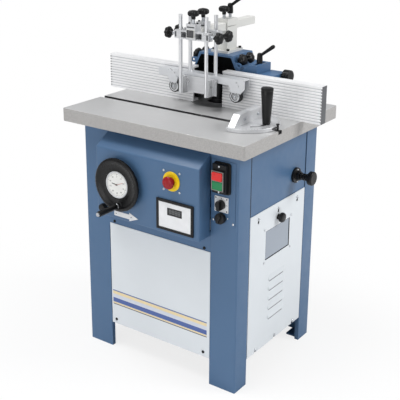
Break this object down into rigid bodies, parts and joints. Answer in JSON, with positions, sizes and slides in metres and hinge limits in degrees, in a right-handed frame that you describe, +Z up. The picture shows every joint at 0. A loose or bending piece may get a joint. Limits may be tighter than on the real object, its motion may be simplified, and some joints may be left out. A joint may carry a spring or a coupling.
{
  "type": "spindle moulder",
  "caption": "Floor-standing spindle moulder with a cast table, ribbed split fence, pressure unit with rollers, mitre gauge and a console with a height handwheel.",
  "frame": {"origin": "on the floor, at the centre of the four anchor holes in the foot plates", "axes": "+Z up; +X to the right along the front; +Y from the front to the back"},
  "size_m": [0.8372, 0.7056, 1.1953],
  "materials": {
    "blue_paint": "satin",
    "white_paint": "satin",
    "window_grey": "satin",
    "grey_iron": "machined",
    "ribbed_aluminium": "extruded",
    "bright_aluminium": "satin",
    "bright_steel": "zinc plated",
    "tower_paint": "satin",
    "arm_iron": "satin",
    "black_plastic": "satin",
    "dial_white": "gloss",
    "display_grey": "satin",
    "selector_white": "satin",
    "stop_yellow": "satin",
    "stop_red": "gloss",
    "start_green": "gloss",
    "motor_grey": "satin",
    "belt_rubber": "matt",
    "roller_rubber": "matt"
  },
  "bodies": {
    "base": {"stand": "blue_paint", "front_panel": "white_paint", "left_panel": "blue_paint", "rear_panel": "white_paint", "right_panel": "blue_paint", "cover_screws": "bright_steel", "console": "blue_paint", "table": "grey_iron", "display_frame": "black_plastic", "display_face": "display_grey", "stop_disc": "stop_yellow", "control_plate": "blue_paint", "switch_housing": "black_plastic", "selector_plate": "selector_white", "tension_flange": "black_plastic", "slideway": "grey_iron"},
    "carriage": {"spindle_housing": "grey_iron", "motor": "motor_grey", "belt": "belt_rubber"},
    "spindle": {"spindle": "bright_steel", "spacer_rings": "bright_steel"},
    "motor_pulley": {"motor_pulley": "bright_steel"},
    "lift_screw": {"lift_screw": "bright_steel"},
    "handwheel": {"handwheel": "black_plastic", "dial": "dial_white"},
    "crank_handle": {"crank_handle": "black_plastic"},
    "lift_lock_knob": {"lift_lock_knob": "black_plastic"},
    "emergency_stop": {"emergency_stop": "stop_red"},
    "start_button": {"start_button": "start_green"},
    "stop_button": {"stop_button": "stop_red"},
    "selector_knob": {"selector_knob": "black_plastic"},
    "tension_knob": {"tension_knob": "black_plastic"},
    "side_door": {"side_door": "white_paint", "door_window": "window_grey"},
    "hood": {"hood": "blue_paint", "hood_knobs": "black_plastic", "tower": "tower_paint"},
    "tower_knob": {"tower_knob": "black_plastic"},
    "tower_lever": {"tower_lever": "black_plastic"},
    "pressure_beam": {"tube": "tower_paint", "crosshead_front": "bright_aluminium", "crosshead_rear": "bright_aluminium"},
    "top_knob_front": {"top_knob_front": "black_plastic"},
    "top_knob_rear": {"top_knob_rear": "black_plastic"},
    "side_knob_front_left": {"side_knob_front_left": "black_plastic"},
    "side_knob_front_right": {"side_knob_front_right": "black_plastic"},
    "side_knob_rear_left": {"side_knob_rear_left": "black_plastic"},
    "side_knob_rear_right": {"side_knob_rear_right": "black_plastic"},
    "guard": {"guard": "ribbed_aluminium"},
    "roller_shoe": {"roller_shoe": "bright_steel"},
    "roller_left": {"roller_left": "roller_rubber"},
    "roller_right": {"roller_right": "roller_rubber"},
    "fence_left": {"fence_left": "ribbed_aluminium"},
    "fence_right": {"fence_right": "ribbed_aluminium"},
    "fence_arm": {"fence_arm": "arm_iron"},
    "fence_adjuster": {"fence_adjuster": "black_plastic"},
    "wing_lever": {"wing_lever": "black_plastic"},
    "mitre_bar": {"mitre_bar": "bright_steel"},
    "mitre_head": {"mitre_head": "ribbed_aluminium"},
    "mitre_handle": {"mitre_handle": "black_plastic"}
  },
  "joints": [
    {"name": "handwheel_turn", "type": "hinge", "parent": "base", "child": "handwheel", "pos_m": [-0.1, -0.297, 0.64], "axis": [0, 1, 0], "range_deg": [-5760, 1440]},
    {"name": "spindle_lift", "type": "slide", "parent": "base", "child": "carriage", "axis": [0, 0, 1], "range_m": [-0.081, 0.021]},
    {"name": "lift_screw_turn", "type": "hinge", "parent": "base", "child": "lift_screw", "pos_m": [-0.1, 0.06, 0.5], "axis": [0, 0, 1], "range_deg": [-5800, 1480]},
    {"name": "spindle_spin", "type": "hinge", "parent": "carriage", "child": "spindle", "pos_m": [0, 0.098, 0.65], "axis": [0, 0, 1], "continuous": true},
    {"name": "motor_spin", "type": "hinge", "parent": "carriage", "child": "motor_pulley", "pos_m": [0.15, 0.058, 0.5], "axis": [0, 0, 1], "continuous": true},
    {"name": "crank_spin", "type": "hinge", "parent": "handwheel", "child": "crank_handle", "pos_m": [-0.096, -0.36, 0.572], "axis": [0, 1, 0], "continuous": true},
    {"name": "lift_lock_turn", "type": "hinge", "parent": "base", "child": "lift_lock_knob", "pos_m": [-0.165, -0.31, 0.548], "axis": [0, 1, 0], "range_deg": [-30, 360]},
    {"name": "emergency_press", "type": "slide", "parent": "base", "child": "emergency_stop", "axis": [0, 1, 0], "range_m": [0, 0.006], "stiffness_N_per_m": 1500},
    {"name": "start_press", "type": "slide", "parent": "base", "child": "start_button", "axis": [0, 1, 0], "range_m": [0, 0.003], "stiffness_N_per_m": 1500},
    {"name": "stop_press", "type": "slide", "parent": "base", "child": "stop_button", "axis": [0, 1, 0], "range_m": [0, 0.003], "stiffness_N_per_m": 1500},
    {"name": "selector_turn", "type": "hinge", "parent": "base", "child": "selector_knob", "pos_m": [0.244, -0.25, 0.63125], "axis": [0, 1, 0], "range_deg": [-90, 90]},
    {"name": "tension_turn", "type": "hinge", "parent": "base", "child": "tension_knob", "pos_m": [0.32, 0.103, 0.638], "axis": [1, 0, 0], "range_deg": [-90, 90]},
    {"name": "door_lift", "type": "slide", "parent": "base", "child": "side_door", "axis": [0, 0, 1], "range_m": [0, 0.01]},
    {"name": "hood_shift", "type": "slide", "parent": "base", "child": "hood", "axis": [0, 1, 0], "range_m": [-0.02, 0.03]},
    {"name": "tower_knob_turn", "type": "hinge", "parent": "hood", "child": "tower_knob", "pos_m": [0, 0.122, 1.13], "axis": [0, 0, 1], "range_deg": [-30, 360]},
    {"name": "tower_lever_turn", "type": "hinge", "parent": "hood", "child": "tower_lever", "pos_m": [0, 0.158, 1.13], "axis": [0, 0, 1], "range_deg": [-60, 60]},
    {"name": "beam_shift", "type": "slide", "parent": "hood", "child": "pressure_beam", "axis": [0, 1, 0], "range_m": [-0.06, 0.008]},
    {"name": "top_knob_front_turn", "type": "hinge", "parent": "pressure_beam", "child": "top_knob_front", "pos_m": [0, -0.05, 1.14], "axis": [0, 0, 1], "range_deg": [-30, 360]},
    {"name": "top_knob_rear_turn", "type": "hinge", "parent": "pressure_beam", "child": "top_knob_rear", "pos_m": [0, 0.003, 1.14], "axis": [0, 0, 1], "range_deg": [-30, 360]},
    {"name": "side_knob_front_left_turn", "type": "hinge", "parent": "pressure_beam", "child": "side_knob_front_left", "pos_m": [-0.09, -0.05, 1.083], "axis": [1, 0, 0], "range_deg": [-30, 360]},
    {"name": "side_knob_front_right_turn", "type": "hinge", "parent": "pressure_beam", "child": "side_knob_front_right", "pos_m": [0.09, -0.05, 1.083], "axis": [1, 0, 0], "range_deg": [-30, 360]},
    {"name": "side_knob_rear_left_turn", "type": "hinge", "parent": "pressure_beam", "child": "side_knob_rear_left", "pos_m": [-0.09, 0.003, 1.083], "axis": [1, 0, 0], "range_deg": [-30, 360]},
    {"name": "side_knob_rear_right_turn", "type": "hinge", "parent": "pressure_beam", "child": "side_knob_rear_right", "pos_m": [0.09, 0.003, 1.083], "axis": [1, 0, 0], "range_deg": [-30, 360]},
    {"name": "guard_height", "type": "slide", "parent": "pressure_beam", "child": "guard", "axis": [0, 0, 1], "range_m": [-0.04, 0.1]},
    {"name": "shoe_height", "type": "slide", "parent": "pressure_beam", "child": "roller_shoe", "axis": [0, 0, 1], "range_m": [-0.03, 0.1]},
    {"name": "roller_left_spin", "type": "hinge", "parent": "roller_shoe", "child": "roller_left", "pos_m": [-0.11, 0.003, 0.896], "axis": [0, 1, 0], "continuous": true},
    {"name": "roller_right_spin", "type": "hinge", "parent": "roller_shoe", "child": "roller_right", "pos_m": [0.131, 0.003, 0.896], "axis": [0, 1, 0], "continuous": true},
    {"name": "fence_left_shift", "type": "slide", "parent": "hood", "child": "fence_left", "axis": [1, 0, 0], "range_m": [-0.05, 0.03]},
    {"name": "fence_right_shift", "type": "slide", "parent": "fence_arm", "child": "fence_right", "axis": [1, 0, 0], "range_m": [-0.03, 0.05]},
    {"name": "fence_feed", "type": "slide", "parent": "hood", "child": "fence_arm", "axis": [0, 1, 0], "range_m": [-0.01, 0.012]},
    {"name": "fence_adjuster_turn", "type": "hinge", "parent": "fence_arm", "child": "fence_adjuster", "pos_m": [0.23, 0.15, 0.9465], "axis": [1, 0, 0], "range_deg": [-610, 730]},
    {"name": "wing_lever_turn", "type": "hinge", "parent": "fence_arm", "child": "wing_lever", "pos_m": [0.14, 0.124, 0.99], "axis": [0, 0, 1], "range_deg": [-60, 60]},
    {"name": "mitre_slide", "type": "slide", "parent": "base", "child": "mitre_bar", "axis": [1, 0, 0], "range_m": [-0.02, 0.2]},
    {"name": "mitre_angle", "type": "hinge", "parent": "mitre_bar", "child": "mitre_head", "pos_m": [0.235, -0.093, 0.85], "axis": [0, 0, 1], "range_deg": [-45, 45]},
    {"name": "mitre_handle_turn", "type": "hinge", "parent": "mitre_bar", "child": "mitre_handle", "pos_m": [0.301, -0.093, 0.9], "axis": [0, 0, 1], "range_deg": [-30, 360]}
  ],
  "couplings": [
    {"joint": "spindle_lift", "follows": "handwheel_turn", "m_per_rad": 0.00079577},
    {"joint": "lift_screw_turn", "follows": "handwheel_turn", "ratio": 1},
    {"joint": "motor_spin", "follows": "spindle_spin", "ratio": 0.7},
    {"joint": "fence_adjuster_turn", "follows": "fence_feed", "rad_per_m": 1047.2}
  ]
}
